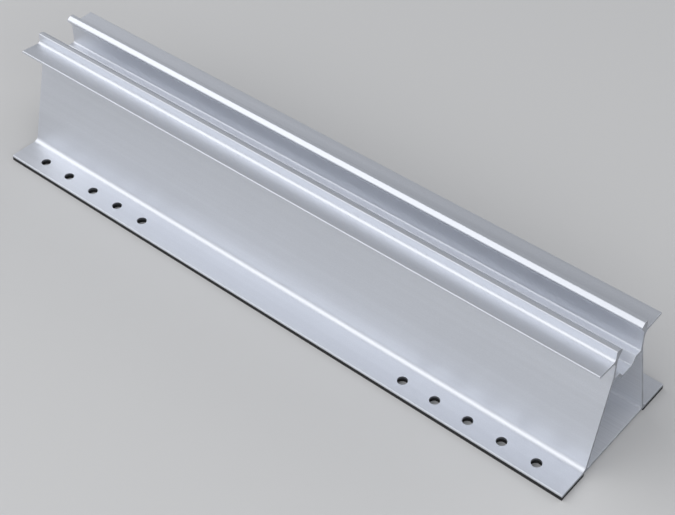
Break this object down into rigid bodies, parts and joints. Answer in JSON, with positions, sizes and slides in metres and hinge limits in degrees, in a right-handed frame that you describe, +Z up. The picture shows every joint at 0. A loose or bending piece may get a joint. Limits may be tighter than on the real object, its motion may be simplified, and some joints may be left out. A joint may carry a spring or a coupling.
{
  "type": "solar mini rail",
  "caption": "Short trapezoidal aluminium mounting rail with a T-bolt channel on top, side wings, punched base flanges and a rubber seal strip under each flange.",
  "frame": {"origin": "centre of the rail's base, on the roof sheet that the seal strips rest on", "axes": "+X along the rail, +Y across it from the front flange to the rear one, +Z up through the bolt channel's slot"},
  "size_m": [0.385, 0.09, 0.073],
  "materials": {
    "extruded_aluminium": "satin",
    "seal_rubber": "matte"
  },
  "bodies": {
    "root": {"rail": "extruded_aluminium", "front_seal_strip": "seal_rubber", "rear_seal_strip": "seal_rubber"}
  },
  "joints": []
}
